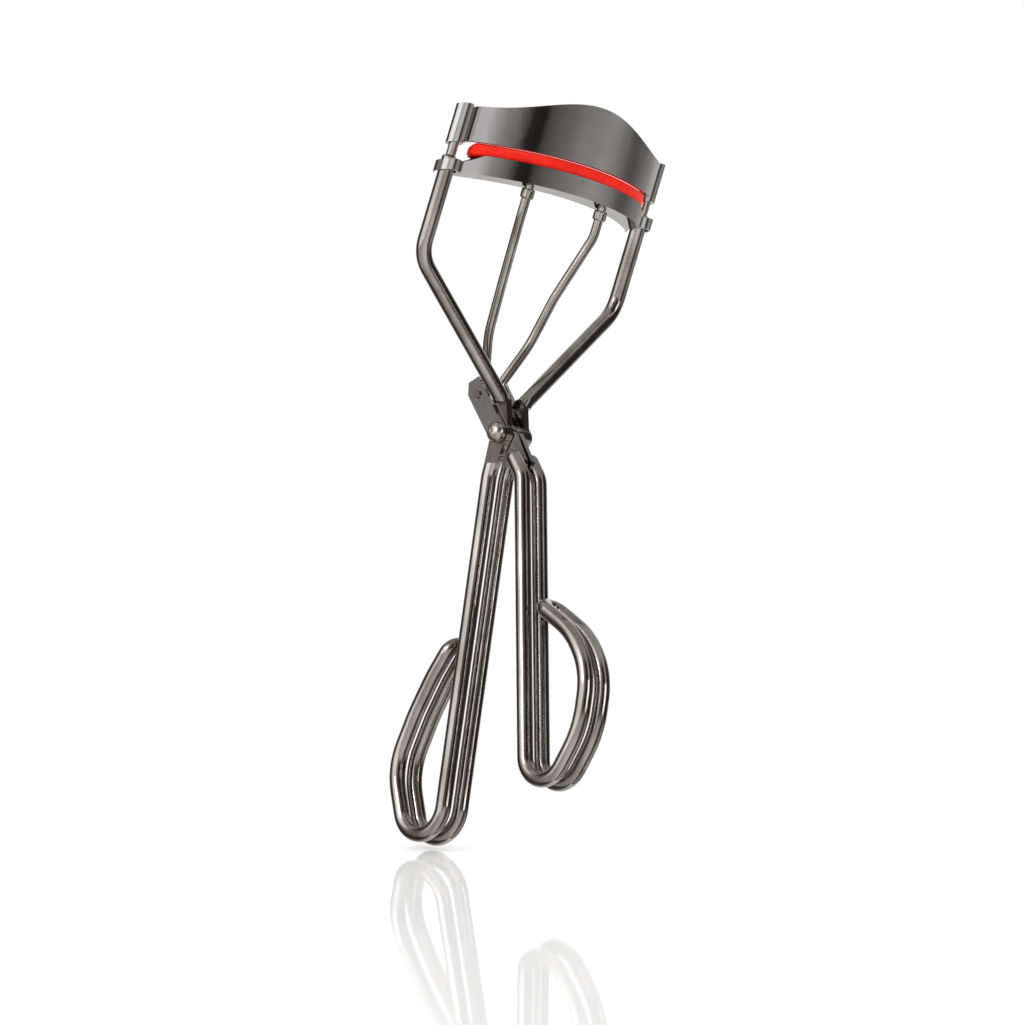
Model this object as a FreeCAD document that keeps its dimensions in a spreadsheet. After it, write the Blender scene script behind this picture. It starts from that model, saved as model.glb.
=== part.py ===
"""Eyelash curler: a bent-wire frame with an upper jaw, a front lever and a sliding lower jaw.

+Z runs up from the finger loops to the jaws, +X runs along the jaws and the hinge rivet,
and -Y is the front, towards the eye.  The origin is the centre of the main rivet.
The curler is modelled closed.  Lengths are in millimetres.
"""
import FreeCAD, Part
import Sketcher
import math
import os

Vector = FreeCAD.Vector

DIMENSIONS = {
    "wire_radius": 1.2,          # main handle wire
    "strand_offset": 1.8,        # half the distance between a handle's two strands
    "rod_tip_radius": 0.75,      # reduced tip of an outer rod
    "inner_rod_radius": 0.72,
    "rod_offset": 20.8,          # outer rods from the middle, along X
    "head_lean": 18.4,           # degrees that the jaws and rods lean forward
    "rod_step_height": 37.9,     # top of an outer rod's full diameter
    "plate_bottom": 40.3,
    "plate_end_top": 45.4,
    "plate_crown": 3.3,          # extra height in the plate's middle
    "plate_half_chord": 19.2,
    "plate_sagitta": 5.0,
    "plate_setback": 2.1,        # plate's ends in front of the rods
    "plate_thickness": 0.6,
    "knuckle_radius": 1.35,
    "knuckle_bottom": 39.9,
    "knuckle_top": 45.6,
    "channel_bottom": 35.7,
    "channel_top": 38.5,
    "channel_depth": 2.8,
    "channel_wall": 0.5,
    "channel_half_chord": 19.5,
    "hook_bottom": 35.7,
    "hook_top": 37.3,
    "hook_wall": 0.32,
    "hook_side_play": 0.06,
    "hook_front_play": 0.6,
    "pad_top": 40.24,
    "pad_half_chord": 18.9,
    "pad_round": 0.45,
    "frame_flat_inner": 1.25,    # the frame's flattened wires, from here
    "frame_flat_outer": 2.35,    # to here along X
    "lever_flat_inner": 0.3,
    "lever_flat_outer": 1.1,
    "cheek_inner": 2.5,
    "cheek_outer": 3.1,
    "hub_radius": 1.9,
    "cheek_radius": 1.6,
    "pin_radius": 0.9,
    "pin_clearance": 0.06,
    "rivet_head_radius": 1.6,
    "rivet_head_height": 0.95,
    "rivet_tail_radius": 1.3,
    "rivet_tail_height": 0.55,
    "link_distance": 7.68,       # link pin from the main rivet
    "link_lean": 35.0,           # degrees behind vertical
    "web_thickness": 0.6,
    "collar_radius": 1.04,
    "collar_length": 1.5,
    "collar_round": 0.25,
    "collar_drop": 0.38,         # below the lower jaw, along the rod
    "inner_rod_offset": 7.84,    # inner rods from the middle, at the lower jaw
}

# Handle centrelines seen along X: y, z and bend radius, from the pivot to the loop's tip.
REAR_HANDLE = [(1.3, -3.6, 0), (2.1, -6.4, 5), (7.75, -60.6, 4.3), (15.2, -59.6, 4.5),
               (18.2, -49.5, 10), (14.5, -41.5, 30), (11.2, -36.0, 30), (7.7, -31.4, 0)]
FRONT_HANDLE = [(-3.0, -4.1, 0), (-4.9, -6.9, 4), (-10.35, -61.4, 4.1), (-20.1, -46.6, 14),
                (-21.0, -38.0, 11), (-17.4, -31.9, 13), (-10.3, -27.1, 0)]


def make_sheet(doc):
    """Put every driving dimension in one spreadsheet, each cell with its name as alias."""
    sheet = doc.addObject("Spreadsheet::Sheet", "Dimensions")
    for row, (alias, value) in enumerate(DIMENSIONS.items(), start=1):
        sheet.set("A%d" % row, alias)
        sheet.set("B%d" % row, str(value))
        sheet.setAlias("B%d" % row, alias)
    doc.recompute()
    return sheet


def bind(feature, expressions):
    """Tie a feature's properties to cells of the spreadsheet."""
    for name, expression in expressions.items():
        feature.setExpression(name, expression)


def rounded_path(points):
    """A wire through (vector, bend radius) corners, of straight runs and tangent arcs."""
    edges = []
    here = points[0][0]
    for (before, _), (corner, radius), (after, _) in zip(points, points[1:], points[2:]):
        back = (before - corner).normalize()
        ahead = (after - corner).normalize()
        half = back.getAngle(ahead) / 2
        reach = radius / math.tan(half)
        start = corner + back * reach
        end = corner + ahead * reach
        bisector = (back + ahead).normalize()
        middle = corner + bisector * (radius / math.sin(half) - radius)
        if (start - here).Length > 1e-4:
            edges.append(Part.LineSegment(here, start).toShape())
        edges.append(Part.Arc(start, middle, end).toShape())
        here = end
    if (points[-1][0] - here).Length > 1e-4:
        edges.append(Part.LineSegment(here, points[-1][0]).toShape())
    return Part.Wire(edges)


def tube(points, radius):
    """Round wire along a rounded path."""
    path = rounded_path(points)
    direction = points[1][0] - points[0][0]
    section = Part.Wire(Part.makeCircle(radius, points[0][0], direction))
    return path.makePipeShell([section], True, True)


def slab(outline, x_start, x_end):
    """A flat piece: an outline of (y, z) corners, thick from x_start to x_end."""
    corners = [Vector(x_start, y, z) for y, z in outline]
    face = Part.Face(Part.makePolygon(corners + corners[:1]))
    return face.extrude(Vector(x_end - x_start, 0, 0))


def disc(y, z, radius, x_start, x_end):
    """A round plate or pin along X."""
    return Part.makeCylinder(radius, x_end - x_start, Vector(x_start, y, z), Vector(1, 0, 0))


def taper(start, end, start_half, end_half):
    """The four (y, z) corners of a strip that narrows from start to end."""
    run = Vector(0, end[0] - start[0], end[1] - start[1]).normalize()
    side_y, side_z = -run.z, run.y
    return [(start[0] + side_y * start_half, start[1] + side_z * start_half),
            (end[0] + side_y * end_half, end[1] + side_z * end_half),
            (end[0] - side_y * end_half, end[1] - side_z * end_half),
            (start[0] - side_y * start_half, start[1] - side_z * start_half)]


def mirrored(shape):
    """The same shape on the other side of the middle plane."""
    return shape.mirror(Vector(0, 0, 0), Vector(1, 0, 0))


def both_sides(shape):
    """A shape fused with its mirror image."""
    return shape.fuse(mirrored(shape))


def add_feature(doc, label, shape):
    """Add a finished shape to the document under its own name."""
    feature = doc.addObject("Part::Feature", label)
    feature.Label = label
    feature.Shape = shape
    feature.Placement = FreeCAD.Placement()
    return feature


def rod_y(size, z):
    """Y of the outer rods' centreline at height z, on their leaning upper part."""
    slope = math.tan(math.radians(size("head_lean")))
    return -5.33 - (z - size("plate_bottom")) * slope


def rod_point(size, z):
    """A point on the right outer rod's leaning part."""
    return Vector(size("rod_offset"), rod_y(size, z), z)


def link_point(size, distance, across=0.0):
    """(y, z) at a distance from the rivet along the link bracket, and across it."""
    lean = math.radians(size("link_lean"))
    return (distance * math.sin(lean) + across * math.cos(lean),
            distance * math.cos(lean) - across * math.sin(lean))


def lifted(size, face, bottom, top):
    """Extrude a level face from bottom to top along the leaning rods."""
    face.translate(Vector(0, rod_y(size, bottom), bottom))
    return face.extrude(Vector(0, rod_y(size, top) - rod_y(size, bottom), top - bottom))


def bow_face(size, half_chord, front, back):
    """A level band bowed forward, between two depths behind the jaw's front surface."""
    chord = size("plate_half_chord")
    sagitta = size("plate_sagitta")
    bow = (chord ** 2 + sagitta ** 2) / (2 * sagitta)
    centre = bow - sagitta - size("plate_setback")

    def point(depth, x):
        return Vector(x, centre - math.sqrt((bow - depth) ** 2 - x ** 2), 0)

    def edge(depth):
        return Part.Arc(point(depth, -half_chord), point(depth, 0),
                        point(depth, half_chord)).toShape()

    ends = [Part.LineSegment(point(front, x), point(back, x)).toShape()
            for x in (-half_chord, half_chord)]
    return Part.Face(Part.Wire(Part.__sortEdges__([edge(front), ends[1], edge(back), ends[0]])))


def bow_depth_y(size, x, depth):
    """Level distance from the rods' line to a depth behind the jaw's front surface."""
    chord = size("plate_half_chord")
    sagitta = size("plate_sagitta")
    bow = (chord ** 2 + sagitta ** 2) / (2 * sagitta)
    return bow - sagitta - size("plate_setback") - math.sqrt((bow - depth) ** 2 - x ** 2)


def handle_wire(size, outline):
    """One bent wire: down a strand, round the loop, through the hairpin and back up."""
    offset = size("strand_offset")
    near = [(Vector(-offset, y, z), radius) for y, z, radius in outline]
    near[-1] = (near[-1][0], offset)
    far = [(Vector(-point.x, point.y, point.z), radius) for point, radius in reversed(near)]
    wire = tube(near + far, size("wire_radius"))
    start = near[0][0]
    for x in (start.x, -start.x):
        wire = wire.fuse(Part.makeSphere(size("wire_radius"), Vector(x, start.y, start.z)))
    return wire


def outer_rod(size):
    """Right outer rod: from the pivot out, up the lean and into its reduced tip."""
    step = rod_point(size, size("rod_step_height"))
    bend = rod_point(size, 23.4)
    foot = Vector(2.85, -0.1, 5.7)
    heel = Vector(1.8, 0.0, 4.1)
    rod = tube([(heel, 0), (foot, 1.6), (bend, 5.5), (step, 0)], size("wire_radius"))
    lean = step - bend
    cone_height = 0.35
    cone = Part.makeCone(size("wire_radius"), size("rod_tip_radius"), cone_height, step, lean)
    tip_length = (rod_point(size, size("knuckle_top") - 0.2) - step).Length
    tip = Part.makeCylinder(size("rod_tip_radius"), tip_length, step, lean)
    pressed = Part.makeBox(size("frame_flat_inner") * 2, 12, 12,
                           Vector(-size("frame_flat_inner"), -6, 0))
    outside = Part.makeBox(3, 8, 4.6, Vector(size("frame_flat_outer"), -4, 0))
    return rod.fuse([cone, tip]).cut([pressed, outside])


def frame_wire(doc, size):
    """Rear handle, flattened pivot and both outer rods, bent from one wire."""
    inner = size("frame_flat_inner")
    outer = size("frame_flat_outer")
    flat = slab(taper((0, 0), (0.0, 4.9), 1.75, 1.15), inner, outer)
    flat = flat.fuse(slab(taper((0, 0), (1.75, -5.2), 1.75, 1.15), inner, outer))
    flat = flat.fuse(disc(0, 0, size("hub_radius"), inner, outer))
    ends = [disc(0.0, 4.7, 1.15, inner, outer), disc(1.75, -5.1, 1.15, inner, outer)]
    side = flat.fuse(ends + [outer_rod(size)])
    handle = handle_wire(size, REAR_HANDLE)
    pressed_depth = 4.6
    for x_start, width in ((-inner, 2 * inner), (outer, 2), (-outer - 2, 2)):
        room = Part.makeBox(width, 12, pressed_depth, Vector(x_start, -6, -pressed_depth))
        handle = handle.cut(room)
    shape = handle.fuse([side, mirrored(side)])
    shape = shape.cut(disc(0, 0, size("pin_radius"), -outer - 1, outer + 1))
    return add_feature(doc, "frame_wire", shape.removeSplitter())


def lever_wire(doc, size):
    """Front handle: one bent wire whose flattened tops meet inside the frame's flats."""
    inner = size("lever_flat_inner")
    outer = size("lever_flat_outer")
    web_face = size("cheek_radius") - size("web_thickness")
    tip = link_point(size, 5.0)
    crimp = (-3.4, -4.7)
    flat = slab(taper((0, 0), crimp, 1.6, 1.1), inner, outer)
    flat = flat.fuse(slab(taper((0, 0), tip, web_face, web_face), inner, outer))
    flat = flat.fuse([disc(0, 0, 1.7, inner, outer), disc(crimp[0], crimp[1], 1.1, inner, outer)])
    handle = handle_wire(size, FRONT_HANDLE)
    pivot_room = size("hub_radius") + 1.6
    for side in (-1, 1):
        room = disc(0, 0, pivot_room, 1.1 if side > 0 else -4, 4 if side > 0 else -1.1)
        handle = handle.cut(room)
    handle = handle.cut(Part.makeBox(2 * inner, 12, 5.4, Vector(-inner, -6, -5.4)))
    shape = handle.fuse([flat, mirrored(flat)])
    bore = size("pin_radius") + size("pin_clearance")
    shape = shape.cut(disc(0, 0, bore, -outer - 1, outer + 1))
    return add_feature(doc, "lever_wire", shape.removeSplitter())


def link_bracket(doc, size):
    """U-shaped bracket: two cheeks outside the frame's flats and a web behind."""
    inner = size("cheek_inner")
    outer = size("cheek_outer")
    radius = size("cheek_radius")
    web = size("web_thickness")
    outline = [link_point(size, 0, radius), link_point(size, 8.8, radius),
               link_point(size, 10.4, 0.5), link_point(size, 9.9, -radius),
               link_point(size, 0, -radius)]
    cheek = slab(outline, inner, outer).fuse(disc(0, 0, radius, inner, outer))
    web_start, web_end = 4.0, 8.6
    corners = [link_point(size, web_start, radius - web), link_point(size, web_end, radius - web),
               link_point(size, web_end, radius), link_point(size, web_start, radius)]
    shape = both_sides(cheek).fuse(slab(corners, -outer, outer))
    clearance = size("pin_clearance")
    link = link_point(size, size("link_distance"))
    shape = shape.cut([disc(0, 0, size("pin_radius") + clearance, -outer, outer),
                       disc(link[0], link[1], size("inner_rod_radius") + clearance, -outer, outer)])
    return add_feature(doc, "link_bracket", shape.removeSplitter())


def upper_jaw(doc, size):
    """Bowed plate, crowned in the middle, with both ends rolled round the rod tips."""
    bottom = size("plate_bottom")
    crown = size("plate_end_top") + size("plate_crown")
    chord = size("plate_half_chord")
    band = lifted(size, bow_face(size, chord, 0, size("plate_thickness")), bottom, crown + 1)
    rise_half_width = 20.0
    steps = 20
    crest = []
    for step in range(steps + 1):
        x = -rise_half_width + 2 * rise_half_width * step / steps
        rise = size("plate_crown") * math.cos(math.pi * x / (2 * rise_half_width)) ** 2
        crest.append(Vector(x, 10, size("plate_end_top") + rise))
    curve = Part.BSplineCurve()
    curve.interpolate(crest)
    low_left = Vector(crest[0].x, 10, bottom - 1)
    low_right = Vector(crest[-1].x, 10, bottom - 1)
    sides = [Part.LineSegment(crest[-1], low_right).toShape(),
             Part.LineSegment(low_right, low_left).toShape(),
             Part.LineSegment(low_left, crest[0]).toShape()]
    window = Part.Face(Part.Wire([curve.toShape()] + sides)).extrude(Vector(0, -40, 0))
    shape = band.common(window)
    knuckle = Part.Face(Part.Wire(Part.makeCircle(size("knuckle_radius"),
                                                  Vector(size("rod_offset"), 0, 0))))
    knuckle = lifted(size, knuckle, size("knuckle_bottom"), size("knuckle_top"))
    s_bend = [Vector(18.9, -2.0, 0), Vector(19.55, -1.7, 0), Vector(19.75, 0.35, 0),
              Vector(19.1, 0.35, 0)]
    s_bend = Part.Face(Part.makePolygon(s_bend + s_bend[:1]))
    s_bend = lifted(size, s_bend, bottom, size("plate_end_top"))
    bore = Part.Face(Part.Wire(Part.makeCircle(size("rod_tip_radius") + 0.06,
                                               Vector(size("rod_offset"), 0, 0))))
    bore = lifted(size, bore, bottom - 1, size("knuckle_top") + 1)
    end = knuckle.fuse(s_bend).cut(bore)
    shape = shape.fuse([end, mirrored(end)])
    return add_feature(doc, "upper_jaw", shape.removeSplitter())


def oblong(half_x, half_y, centre_x):
    """A level face with rounded front and back."""
    straight = half_y - half_x
    left = centre_x - half_x
    right = centre_x + half_x
    edges = [Part.Arc(Vector(left, -straight, 0), Vector(centre_x, -half_y, 0),
                      Vector(right, -straight, 0)).toShape(),
             Part.LineSegment(Vector(right, -straight, 0), Vector(right, straight, 0)).toShape(),
             Part.Arc(Vector(right, straight, 0), Vector(centre_x, half_y, 0),
                      Vector(left, straight, 0)).toShape(),
             Part.LineSegment(Vector(left, straight, 0), Vector(left, -straight, 0)).toShape()]
    return Part.Face(Part.Wire(edges))


def lower_jaw(doc, size):
    """Bowed channel with a hook at each end that slides on the outer rods."""
    bottom = size("channel_bottom")
    top = size("channel_top")
    wall = size("channel_wall")
    depth = size("channel_depth")
    half = size("channel_half_chord")
    shape = lifted(size, bow_face(size, half, 0, depth), bottom, top)
    groove = lifted(size, bow_face(size, half - 0.4, wall, depth - wall), bottom + wall, top + 1)
    centre_x = size("rod_offset")
    room_x = size("wire_radius") + size("hook_side_play")
    room_y = size("wire_radius") + size("hook_front_play")
    hook_wall = size("hook_wall")
    hook = lifted(size, oblong(room_x + hook_wall, room_y + hook_wall, centre_x),
                  size("hook_bottom"), size("hook_top"))
    slot = lifted(size, oblong(room_x, room_y, centre_x), bottom - 2, top + 1)
    gap = Part.makeBox(1.4, 2.2, 8, Vector(centre_x - 0.4, rod_y(size, 37.6) + 0.8, 34))
    shape = shape.fuse([hook, mirrored(hook)]).cut([groove, slot, mirrored(slot),
                                                    gap, mirrored(gap)])
    holes = [inner_rod_shape(size), mirrored(inner_rod_shape(size))]
    ramp = [Vector(16.6, -30, top + 0.1), Vector(19.2, -30, size("hook_top")),
            Vector(24, -30, size("hook_top")), Vector(24, -30, top + 0.1)]
    ramp = Part.Face(Part.makePolygon(ramp + ramp[:1])).extrude(Vector(0, 40, 0))
    shape = shape.cut(holes + [ramp, mirrored(ramp)])
    return add_feature(doc, "lower_jaw", shape.removeSplitter())


def lash_pad(doc, size):
    """Silicone pad: a foot in the channel and a wider rounded head above it."""
    wall = size("channel_wall")
    depth = size("channel_depth")
    top = size("pad_top")
    half = size("pad_half_chord")
    foot = lifted(size, bow_face(size, half, wall + 0.05, depth - wall - 0.05),
                  size("channel_bottom") + 1.3, size("channel_top") + 0.3)
    head = lifted(size, bow_face(size, half, 0.15, depth - 0.15),
                  size("channel_top") + 0.02, top)
    rims = [edge for edge in head.Edges
            if edge.BoundBox.ZMin > top - 0.01 and edge.Length > 10]
    head = head.makeFillet(size("pad_round"), rims)
    return add_feature(doc, "lash_pad", head.fuse(foot).removeSplitter())


def inner_rod_points(size):
    """Right inner rod's corners, from the lower jaw down to its hooked end."""
    x = size("inner_rod_offset")
    middle = bow_depth_y(size, x, size("channel_depth") / 2)
    bottom = size("channel_bottom")
    link_y, link_z = link_point(size, size("link_distance"))
    top = Vector(x, rod_y(size, bottom + 1.0) + middle, bottom + 1.0)
    knee = Vector(x, rod_y(size, 31.4) + middle, 31.4)
    return [(top, 0), (knee, 5), (Vector(5.6, -1.9, 22.1), 9), (Vector(4.4, 1.5, 15.0), 14),
            (Vector(1.7, link_y, 8.6), 2.5), (Vector(1.6, link_y, link_z), 0.9),
            (Vector(size("cheek_outer") + 0.35, link_y, link_z), 0)]


def inner_rod_shape(size):
    return tube(inner_rod_points(size), size("inner_rod_radius"))


def inner_rods(doc, size):
    """The two thin rods that pull the lower jaw."""
    rod = inner_rod_shape(size)
    return [add_feature(doc, "right_inner_rod", rod),
            add_feature(doc, "left_inner_rod", mirrored(rod))]


def turned_along_x(doc, name, radius, length, start):
    """A cylinder along X, with its sizes bound to the sheet."""
    cylinder = doc.addObject("Part::Cylinder", name)
    bind(cylinder, {"Radius": radius, "Height": length})
    turn = FreeCAD.Rotation(Vector(0, 1, 0), 90)
    cylinder.Placement = FreeCAD.Placement(Vector(0, 0, 0), turn)
    cylinder.setExpression("Placement.Base.x", start)
    return cylinder


def main_rivet(doc, size):
    """Rivet with a domed head on the left and a flat formed tail on the right."""
    body = doc.addObject("PartDesign::Body", "main_rivet")
    body.Label = "main_rivet"
    plane = [item for item in body.Origin.OriginFeatures if item.Role == "XY_Plane"][0]
    sketch = body.newObject("Sketcher::SketchObject", "rivet_outline")
    sketch.AttachmentSupport = [(plane, "")]
    sketch.MapMode = "FlatFace"
    seat = size("cheek_outer") + 0.05
    apex = -seat - size("rivet_head_height")
    head = size("rivet_head_radius")
    tail = size("rivet_tail_radius")
    end = seat + size("rivet_tail_height")
    bevel = 0.25
    dome_middle = Vector(apex + 0.25 * size("rivet_head_height"), head * 0.72, 0)
    corners = [Vector(-seat, head, 0), Vector(-seat, size("pin_radius"), 0),
               Vector(seat, size("pin_radius"), 0), Vector(seat, tail, 0),
               Vector(end - bevel, tail, 0), Vector(end, tail - bevel, 0),
               Vector(end, 0, 0), Vector(apex, 0, 0)]
    sketch.addGeometry(Part.Arc(corners[-1], dome_middle, corners[0]))
    for first, second in zip(corners, corners[1:]):
        sketch.addGeometry(Part.LineSegment(first, second))
    shank = 2
    sketch.addConstraint(Sketcher.Constraint("Horizontal", shank))
    grip = sketch.addConstraint(Sketcher.Constraint("DistanceY", -1, 1, shank, 1,
                                                    size("pin_radius")))
    sketch.setExpression("Constraints[%d]" % grip, "Dimensions.pin_radius")
    turned = body.newObject("PartDesign::Revolution", "rivet_turned")
    turned.Profile = sketch
    turned.ReferenceAxis = (sketch, ["H_Axis"])
    turned.Angle = 360
    return body


def pivot_washer(doc):
    """Thin washer on the rivet, between the lever's two flats."""
    length = "2 * Dimensions.lever_flat_inner"
    start = "-Dimensions.lever_flat_inner"
    blank = turned_along_x(doc, "washer_blank", "Dimensions.hub_radius - 0.3", length, start)
    bore = turned_along_x(doc, "washer_bore", "Dimensions.pin_radius + Dimensions.pin_clearance",
                          length, start)
    washer = doc.addObject("Part::Cut", "pivot_washer")
    washer.Base = blank
    washer.Tool = bore
    washer.Label = "pivot_washer"
    return washer


def collars(doc, size):
    """The bead under the lower jaw where each inner rod is riveted in."""
    features = []
    x = size("inner_rod_offset")
    bottom = size("channel_bottom")
    y = rod_y(size, bottom) + bow_depth_y(size, x, size("channel_depth") / 2)
    lean = FreeCAD.Rotation(Vector(1, 0, 0), size("head_lean"))
    for label, side in (("right_collar", 1), ("left_collar", -1)):
        bead = doc.addObject("Part::Cylinder", label + "_blank")
        bind(bead, {"Radius": "Dimensions.collar_radius", "Height": "Dimensions.collar_length"})
        doc.recompute()
        rounded = doc.addObject("Part::Fillet", label + "_rounded")
        rounded.Base = bead
        rims = [number for number, edge in enumerate(bead.Shape.Edges, start=1)
                if edge.Curve.TypeId == "Part::GeomCircle"]
        rim = size("collar_round")
        rounded.Edges = [(number, rim, rim) for number in rims]
        bore = doc.addObject("Part::Cylinder", label + "_bore")
        bind(bore, {"Radius": "Dimensions.inner_rod_radius", "Height": "Dimensions.collar_length"})
        collar = doc.addObject("Part::Cut", label)
        collar.Base = rounded
        collar.Tool = bore
        drop = lean.multVec(Vector(0, 0, -size("collar_length") - size("collar_drop")))
        collar.Placement = FreeCAD.Placement(Vector(side * x, y, bottom) + drop, lean)
        collar.Label = label
        features.append(collar)
    return features


def check(doc, features):
    """Stop if any object failed or any piece isn't one valid solid."""
    for item in doc.Objects:
        if "Invalid" in item.State or "Error" in item.State:
            raise RuntimeError("failed object: %s %s" % (item.Label, item.State))
    for feature in features:
        shape = feature.Shape
        if shape.isNull() or not shape.isValid() or len(shape.Solids) != 1:
            raise RuntimeError("bad shape: %s, %d solids" % (feature.Label, len(shape.Solids)))
        print("%-16s %9.2f mm3" % (feature.Label, shape.Volume))


def main():
    doc = FreeCAD.newDocument("eyelash_curler")
    sheet = make_sheet(doc)

    def size(name):
        return float(sheet.get(name))

    features = [frame_wire(doc, size), upper_jaw(doc, size), main_rivet(doc, size),
                lever_wire(doc, size), link_bracket(doc, size), pivot_washer(doc),
                lower_jaw(doc, size), lash_pad(doc, size)]
    features += inner_rods(doc, size)
    features += collars(doc, size)
    doc.recompute()
    check(doc, features)
    os.makedirs("parts", exist_ok=True)
    for feature in features:
        feature.Shape.exportStep("parts/%s.step" % feature.Label)


main()
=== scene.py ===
"""Eyelash curler in black nickel with a red silicone pad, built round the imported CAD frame."""
import math

import bmesh
import bpy
from mathutils import Matrix, Vector


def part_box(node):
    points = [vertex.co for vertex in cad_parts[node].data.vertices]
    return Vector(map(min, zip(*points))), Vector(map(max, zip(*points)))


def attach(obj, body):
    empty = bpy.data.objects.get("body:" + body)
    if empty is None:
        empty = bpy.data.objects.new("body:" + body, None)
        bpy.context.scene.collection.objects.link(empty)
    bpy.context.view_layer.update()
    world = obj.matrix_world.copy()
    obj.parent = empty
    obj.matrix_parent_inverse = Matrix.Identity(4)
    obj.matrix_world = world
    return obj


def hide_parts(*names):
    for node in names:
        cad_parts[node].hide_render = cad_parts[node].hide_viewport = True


MM = 0.001

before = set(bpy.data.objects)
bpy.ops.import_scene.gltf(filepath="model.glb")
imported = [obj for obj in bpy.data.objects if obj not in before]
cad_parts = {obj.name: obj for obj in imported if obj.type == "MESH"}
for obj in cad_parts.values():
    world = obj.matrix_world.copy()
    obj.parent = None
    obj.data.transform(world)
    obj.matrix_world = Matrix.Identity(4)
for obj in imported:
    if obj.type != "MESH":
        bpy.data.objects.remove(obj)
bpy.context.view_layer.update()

# Camera: a long lens at the front left, looking slightly up at the object, with a small roll.
# Azimuth 0 looks along +Y.
CAMERA_AZIMUTH = -45.0
CAMERA_ELEVATION = -11.5
CAMERA_ROLL = 3.6
CAMERA_DISTANCE = 1.15
VIEW_WIDTH = 153.7 * MM          # what the picture's width takes in at the rivet
RIVET_RIGHT = -0.3 * MM          # the rivet's place from the picture's middle
RIVET_UP = 11.5 * MM
SENSOR_WIDTH = 36.0
FLOOR_TILT = 7.0                 # degrees that the camera looks down on the floor
FLOOR_RADIUS = 120 * MM          # small and mostly in front, so it hides little in other views
FLOOR_FORWARD = 97 * MM          # the disc's middle, along the floor from the rivet
FLOOR_GAP = 0.4 * MM             # under the loops

# The jaws' shape, shared by the pad.
BOW_RADIUS = 39.36 * MM          # front surface of both jaws, seen from above
LEAN_SLOPE = math.tan(math.radians(18.4))  # the jaws lean forward
PAD_DEPTH = 2.75 * MM
PAD_SWELL = 0.14 * MM            # the pad's top above its plain CAD solid
PAD_FOOT = 1.8 * MM              # the pad's underside below that solid's top
PAD_SETBACK = 0.15 * MM          # the pad's front behind that solid's
PAD_CORNER = 0.4                 # exponent of the section: 1 is an ellipse, 0 a rectangle
PAD_END = 1.1                    # length of the rounded ends, in half heights
PAD_END_SCALE = 0.02             # the section's smallest size, at the very tip
PAD_STATIONS = 120
PAD_SIDES = 40

BUMP_HEIGHT = 0.02 * MM


def add_node(tree, kind, **inputs):
    """Add a shader node and set the named input sockets."""
    node = tree.nodes.new(kind)
    for name, value in inputs.items():
        node.inputs[name.replace("_", " ")].default_value = value
    return node


def new_material(name):
    """A new node material, its node tree and its Principled shader."""
    material = bpy.data.materials.new(name)
    material.use_nodes = True
    tree = material.node_tree
    return material, tree, tree.nodes["Principled BSDF"]


def ramp_between(tree, source, stops):
    """Colour ramp over a factor, from (place, colour) stops."""
    ramp = tree.nodes.new("ShaderNodeValToRGB")
    elements = ramp.color_ramp.elements
    while len(elements) < len(stops):
        elements.new(0.5)
    for element, (place, colour) in zip(elements, stops):
        element.position = place
        element.color = (*colour, 1.0)
    tree.links.new(source, ramp.inputs["Fac"])
    return ramp.outputs["Color"]


def stretched_noise(tree, stretch, scale, detail):
    """Noise over object space, drawn out along one axis."""
    place = tree.nodes.new("ShaderNodeTexCoord")
    mapping = add_node(tree, "ShaderNodeMapping", Scale=stretch)
    noise = add_node(tree, "ShaderNodeTexNoise", Scale=scale, Detail=detail)
    tree.links.new(place.outputs["Object"], mapping.inputs["Vector"])
    tree.links.new(mapping.outputs["Vector"], noise.inputs["Vector"])
    return noise.outputs["Fac"]


def fine_relief(tree, shader, height, strength):
    """Bump the surface by a height signal."""
    bump = add_node(tree, "ShaderNodeBump", Strength=strength, Distance=BUMP_HEIGHT)
    tree.links.new(height, bump.inputs["Height"])
    tree.links.new(bump.outputs["Normal"], shader.inputs["Normal"])


def black_nickel(name, dark, light, roughness, grain_stretch, grain_depth):
    """Polished dark plating: slow warm tint changes, drawing lines and uneven polish."""
    material, tree, shader = new_material(name)
    shader.inputs["Metallic"].default_value = 1.0
    tint = stretched_noise(tree, stretch=(1, 1, 0.35), scale=260, detail=2)
    tree.links.new(ramp_between(tree, tint, [(0.35, dark), (0.68, light)]),
                   shader.inputs["Base Color"])
    polish = stretched_noise(tree, stretch=(1, 1, 1), scale=900, detail=4)
    smooth, rough = roughness
    tree.links.new(ramp_between(tree, polish, [(0.35, (smooth,) * 3), (0.75, (rough,) * 3)]),
                   shader.inputs["Roughness"])
    grain = stretched_noise(tree, stretch=grain_stretch, scale=5200, detail=5)
    fine_relief(tree, shader, grain, grain_depth)
    return material


def silicone():
    """Bright red silicone: soft sheen, faint bloom and a very fine moulded surface."""
    material, tree, shader = new_material("silicone")
    shader.inputs["Roughness"].default_value = 0.3
    shader.inputs["Subsurface Weight"].default_value = 0.25
    shader.inputs["Subsurface Radius"].default_value = (1.0, 0.25, 0.1)
    shader.inputs["Subsurface Scale"].default_value = 0.4 * MM
    shader.inputs["Specular IOR Level"].default_value = 0.22
    bloom = stretched_noise(tree, stretch=(1, 1, 1), scale=420, detail=3)
    tree.links.new(ramp_between(tree, bloom, [(0.3, (0.78, 0.008, 0.002)),
                                              (0.75, (0.92, 0.02, 0.004))]),
                   shader.inputs["Base Color"])
    skin = stretched_noise(tree, stretch=(1, 1, 1), scale=9000, detail=3)
    fine_relief(tree, shader, skin, 0.25)
    return material


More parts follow.
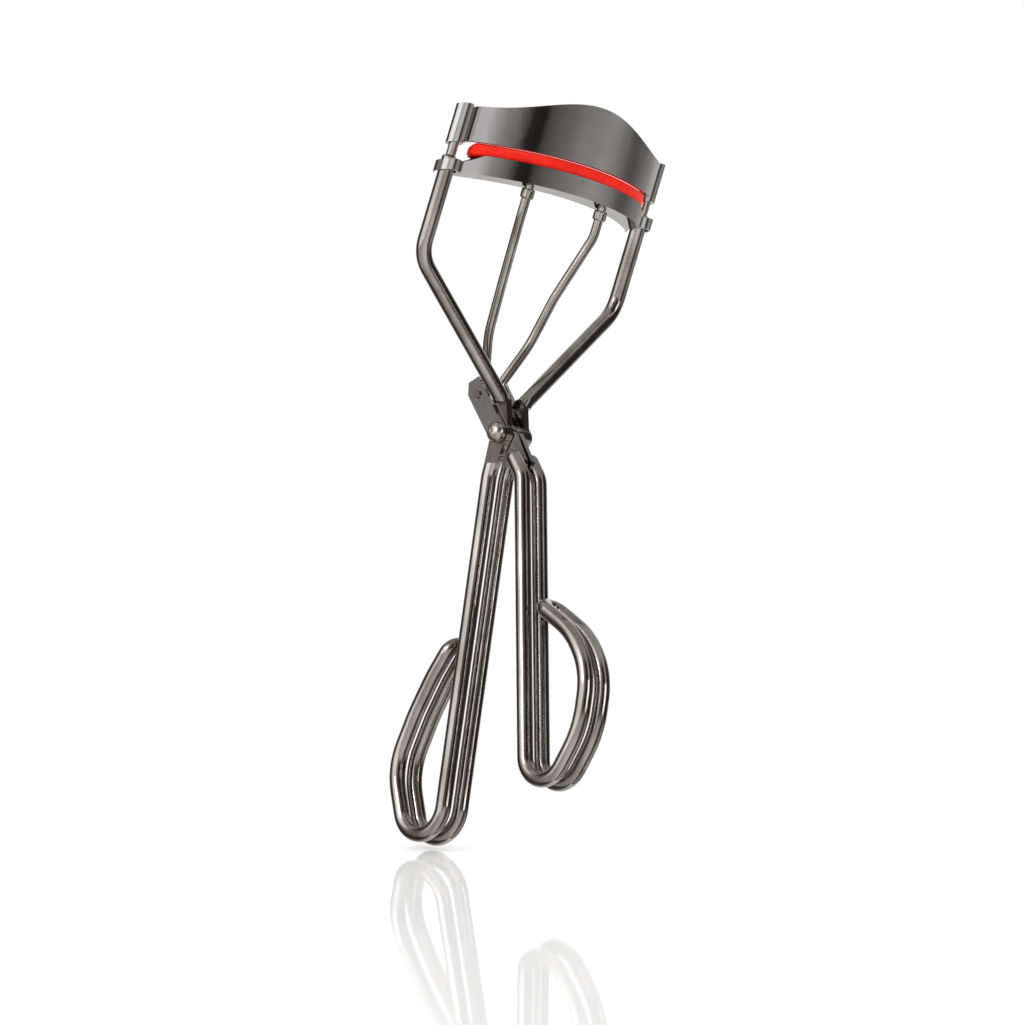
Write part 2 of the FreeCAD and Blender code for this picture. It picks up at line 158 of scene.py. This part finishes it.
def dress_frame():
    """Give every CAD node its finish."""
    wire = black_nickel("black_nickel_wire", dark=(0.27, 0.24, 0.215), light=(0.47, 0.44, 0.415),
                        roughness=(0.07, 0.13), grain_stretch=(1, 1, 0.03), grain_depth=0.35)
    sheet = black_nickel("black_nickel_sheet", dark=(0.42, 0.41, 0.41), light=(0.49, 0.48, 0.48),
                         roughness=(0.05, 0.09), grain_stretch=(0.04, 1, 1), grain_depth=0.15)
    steel = black_nickel("rivet_steel", dark=(0.40, 0.365, 0.33), light=(0.5, 0.465, 0.43),
                         roughness=(0.2, 0.32), grain_stretch=(1, 1, 1), grain_depth=0.5)
    finish = {"frame_wire": wire, "lever_wire": wire, "left_inner_rod": wire,
              "right_inner_rod": wire, "left_collar": wire, "right_collar": wire,
              "upper_jaw": sheet, "lower_jaw": sheet, "link_bracket": sheet,
              "main_rivet": steel, "pivot_washer": steel}
    for name, material in finish.items():
        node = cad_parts[name]
        node.data.materials.clear()
        node.data.materials.append(material)


def pad_section(turn):
    """One point of the pad's rounded section: level depth and height, each -1 to 1."""
    across, up = math.cos(turn), math.sin(turn)
    return (math.copysign(abs(across) ** PAD_CORNER, across),
            math.copysign(abs(up) ** PAD_CORNER, up))


def lash_pad():
    """The silicone pad: a rounded strip bowed like the jaws, with round ends."""
    low, high = (Vector(corner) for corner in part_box("lash_pad"))
    top = high.z + PAD_SWELL
    bottom = high.z - PAD_FOOT
    middle_z = (top + bottom) / 2
    half_height = (top - bottom) / 2
    half_depth = PAD_DEPTH / 2
    front_y = low.y + PAD_SETBACK
    centre_y = front_y + BOW_RADIUS
    half_angle = math.asin(high.x / BOW_RADIUS)
    cap = half_height * PAD_END / BOW_RADIUS
    mesh = bmesh.new()
    rings = []
    for station in range(PAD_STATIONS + 1):
        angle = half_angle * math.sin(math.pi * (station / PAD_STATIONS - 0.5))
        inside = max(0.0, (abs(angle) - (half_angle - cap)) / cap)
        scale = math.sqrt(max(0.0, 1 - min(inside, 1.0) ** 2))
        scale = max(scale, PAD_END_SCALE)
        ring = []
        for step in range(PAD_SIDES):
            depth, height = pad_section(2 * math.pi * step / PAD_SIDES)
            radius = BOW_RADIUS - half_depth + depth * half_depth * scale
            z = middle_z + height * half_height * scale
            y = centre_y - radius * math.cos(angle) - (z - high.z) * LEAN_SLOPE
            ring.append(mesh.verts.new((radius * math.sin(angle), y, z)))
        rings.append(ring)
    for first, second in zip(rings, rings[1:]):
        for step in range(PAD_SIDES):
            following = (step + 1) % PAD_SIDES
            mesh.faces.new((first[step], second[step], second[following], first[following]))
    mesh.faces.new(rings[0])
    mesh.faces.new(list(reversed(rings[-1])))
    bmesh.ops.recalc_face_normals(mesh, faces=mesh.faces)
    for face in mesh.faces:
        face.smooth = True
    data = bpy.data.meshes.new("silicone_pad")
    mesh.to_mesh(data)
    mesh.free()
    pad = bpy.data.objects.new("silicone_pad", data)
    bpy.context.scene.collection.objects.link(pad)
    data.materials.append(silicone())
    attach(pad, "lower_jaw_set")
    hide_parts("lash_pad")


def camera_axes():
    """The camera's right, up and back directions."""
    azimuth = math.radians(CAMERA_AZIMUTH)
    elevation = math.radians(CAMERA_ELEVATION)
    roll = math.radians(CAMERA_ROLL)
    back = Vector((math.sin(azimuth) * math.cos(elevation),
                   -math.cos(azimuth) * math.cos(elevation), math.sin(elevation)))
    level = Vector((math.cos(azimuth), math.sin(azimuth), 0))
    upright = back.cross(level)
    right = level * math.cos(roll) + upright * math.sin(roll)
    return right, back.cross(right), back


def add_camera():
    """A camera whose picture is VIEW_WIDTH wide at the rivet's distance."""
    right, up, back = camera_axes()
    data = bpy.data.cameras.new("camera")
    data.sensor_width = SENSOR_WIDTH
    data.lens = SENSOR_WIDTH * CAMERA_DISTANCE / VIEW_WIDTH
    data.clip_start = 0.01
    camera = bpy.data.objects.new("camera", data)
    bpy.context.scene.collection.objects.link(camera)
    middle = -right * RIVET_RIGHT - up * RIVET_UP
    camera.location = middle + back * CAMERA_DISTANCE
    camera.rotation_mode = "QUATERNION"
    camera.rotation_quaternion = Matrix((right, up, back)).transposed().to_quaternion()
    bpy.context.scene.camera = camera


def add_floor():
    """A small pale glossy tabletop under the loops, level with the camera's view."""
    _, up, back = camera_axes()
    tilt = math.radians(FLOOR_TILT)
    normal = (up * math.cos(tilt) + back * math.sin(tilt)).normalized()
    lowest = min(normal.dot(vertex.co) for name in ("frame_wire", "lever_wire")
                 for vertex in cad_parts[name].data.vertices)
    mesh = bmesh.new()
    bmesh.ops.create_circle(mesh, cap_ends=True, segments=96, radius=FLOOR_RADIUS)
    data = bpy.data.meshes.new("floor")
    mesh.to_mesh(data)
    mesh.free()
    floor = bpy.data.objects.new("floor", data)
    floor.rotation_mode = "QUATERNION"
    floor.rotation_quaternion = normal.to_track_quat("Z", "Y")
    forward = (back - normal * back.dot(normal)).normalized()
    floor.location = normal * (lowest - FLOOR_GAP) + forward * FLOOR_FORWARD
    floor.visible_glossy = False     # the metal reflects the studio, not the tabletop
    bpy.context.scene.collection.objects.link(floor)
    material, _, shader = new_material("pale_floor")
    shader.inputs["Base Color"].default_value = (0.93, 0.93, 0.93, 1)
    shader.inputs["Roughness"].default_value = 0.06
    shader.inputs["Specular IOR Level"].default_value = 0.5
    shader.inputs["Emission Color"].default_value = (1, 1, 1, 1)
    shader.inputs["Emission Strength"].default_value = 0.1
    data.materials.append(material)


# The studio as reflections see it: brightness at degrees from +X towards +Y.  The camera
# stands at -135 and its left is at 135.  Rays that go down see the lower panels: the jaws lean
# forward and reflect these.
UPPER_PANELS = [(-180, 1.7), (-158, 1.7), (-150, 0.35), (-135, 0.25), (-122, 0.04), (-92, 0.03),
                (-86, 0.75), (-74, 0.75), (-68, 0.05), (-20, 0.04), (0, 0.4), (18, 1.1),
                (62, 1.1), (80, 0.3), (100, 0.06), (118, 0.05), (138, 0.4), (150, 1.6), (180, 1.8)]
LOWER_PANELS = [(-180, 0.6), (-150, 0.85), (-126, 1.0), (-98, 0.95), (-92, 0.5), (-84, 0.25),
                (-79, 0.03), (-73, 0.02), (-70, 0.12), (-60, 0.26), (-46, 0.45), (-30, 0.8),
                (-23, 0.75), (-9, 0.18), (0, 0.28), (12, 1.1), (50, 0.7), (90, 0.1),
                (120, 0.05), (140, 0.5), (180, 0.6)]
DARK_WARMTH = (1.0, 0.92, 0.86)  # tint of an unlit panel
LOWER_BLEND = (-0.22, -0.05)     # ray heights between which lower panels give way to upper
CEILING_BLEND = (0.6, 0.8)       # ray heights between which upper panels give way to the ceiling
CEILING_GREY = 0.5


def panels_around(tree, fraction, panels):
    """Brightness by direction round the vertical; the darker a panel, the warmer it is."""
    stops = []
    for degrees, level in panels:
        lit = min(level, 1.0)
        colour = [level * (lit + (1 - lit) * warmth) for warmth in DARK_WARMTH]
        stops.append(((degrees + 180) / 360, colour))
    return ramp_between(tree, fraction, stops)


def plain_grey(tree, level):
    """A node that gives one grey level."""
    node = tree.nodes.new("ShaderNodeRGB")
    node.outputs[0].default_value = (level, level, level, 1)
    return node.outputs[0]


def blend_between(tree, source, limits, first, second):
    """The first colour where source is under both limits, the second where it is over both."""
    low, high = limits
    spread = tree.nodes.new("ShaderNodeMapRange")
    spread.inputs["From Min"].default_value = low
    spread.inputs["From Max"].default_value = high
    mix = tree.nodes.new("ShaderNodeMix")
    mix.data_type = "RGBA"
    tree.links.new(source, spread.inputs["Value"])
    tree.links.new(spread.outputs["Result"], mix.inputs["Factor"])
    tree.links.new(first, mix.inputs["A"])
    tree.links.new(second, mix.inputs["B"])
    return mix.outputs["Result"]


def add_world():
    """White surround; reflections see a studio of bright panels and dark gaps."""
    world = bpy.data.worlds.new("studio")
    bpy.context.scene.world = world
    world.use_nodes = True
    tree = world.node_tree
    background = tree.nodes["Background"]
    place = tree.nodes.new("ShaderNodeTexCoord")
    axes = tree.nodes.new("ShaderNodeSeparateXYZ")
    tree.links.new(place.outputs["Generated"], axes.inputs["Vector"])
    turn = tree.nodes.new("ShaderNodeMath")
    turn.operation = "ARCTAN2"
    tree.links.new(axes.outputs["Y"], turn.inputs[0])
    tree.links.new(axes.outputs["X"], turn.inputs[1])
    fraction = tree.nodes.new("ShaderNodeMapRange")
    fraction.inputs["From Min"].default_value = -math.pi
    fraction.inputs["From Max"].default_value = math.pi
    tree.links.new(turn.outputs[0], fraction.inputs["Value"])
    upper = panels_around(tree, fraction.outputs["Result"], UPPER_PANELS)
    lower = panels_around(tree, fraction.outputs["Result"], LOWER_PANELS)
    studio = blend_between(tree, axes.outputs["Z"], LOWER_BLEND, lower, upper)
    ceiling = plain_grey(tree, CEILING_GREY)
    studio = blend_between(tree, axes.outputs["Z"], CEILING_BLEND, studio, ceiling)
    path = tree.nodes.new("ShaderNodeLightPath")
    seen = blend_between(tree, path.outputs["Is Glossy Ray"], (0, 1), plain_grey(tree, 1), studio)
    tree.links.new(seen, background.inputs["Color"])
    background.inputs["Strength"].default_value = 1.0


def add_lights():
    """Two softboxes, high on the camera's left and low on its right."""
    right, up, back = camera_axes()
    softboxes = (("key", back * 0.5 - right * 0.45 + up * 0.4, 0.25, 1.2),
                 ("fill", back * 0.45 + right * 0.55 + up * 0.1, 0.3, 0.6))
    for name, place, width_m, power_w in softboxes:
        data = bpy.data.lights.new(name, "AREA")
        data.size = width_m
        data.energy = power_w
        light = bpy.data.objects.new(name, data)
        light.location = place
        light.rotation_mode = "QUATERNION"
        light.rotation_quaternion = place.to_track_quat("Z", "Y")
        bpy.context.scene.collection.objects.link(light)


bpy.context.scene.view_settings.view_transform = "Standard"
add_camera()
dress_frame()
lash_pad()
add_floor()
add_world()
add_lights()
